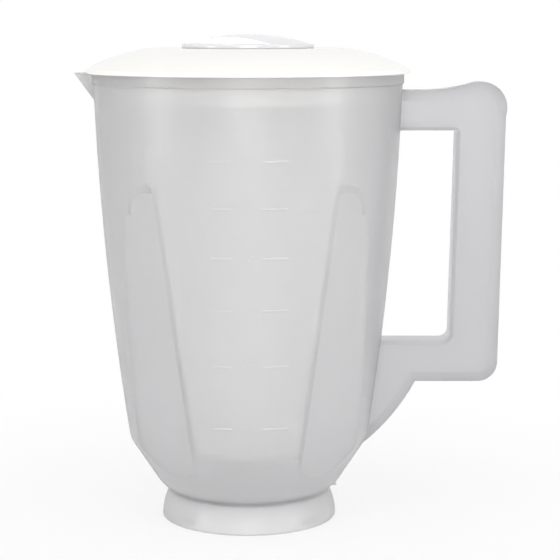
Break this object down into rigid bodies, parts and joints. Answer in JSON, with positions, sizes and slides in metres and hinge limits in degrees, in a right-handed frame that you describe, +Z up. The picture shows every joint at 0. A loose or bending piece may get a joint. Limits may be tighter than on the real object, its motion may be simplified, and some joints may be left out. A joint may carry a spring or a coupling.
{
  "type": "blender jar",
  "caption": "Translucent blender jar with a fluted wall, pouring spout, loop handle and foot ring, a white push-in lid, and a clear measuring cap in the lid's filler hole.",
  "frame": {"origin": "centre of the foot ring's bottom plane, on the jar's own axis, where the jar seats on its motor unit", "axes": "+Z up along the jar's axis to the lid, +X from the axis towards the handle, -X towards the spout"},
  "size_m": [0.1904, 0.1426, 0.216],
  "materials": {
    "jar_plastic": "milky translucent polypropylene, fine satin outside",
    "lid_plastic": "glossy opaque white",
    "cap_plastic": "clear polished plastic"
  },
  "bodies": {
    "root": {"jar_body": "jar_plastic", "lid": "lid_plastic", "measuring_cap": "cap_plastic"}
  },
  "joints": []
}
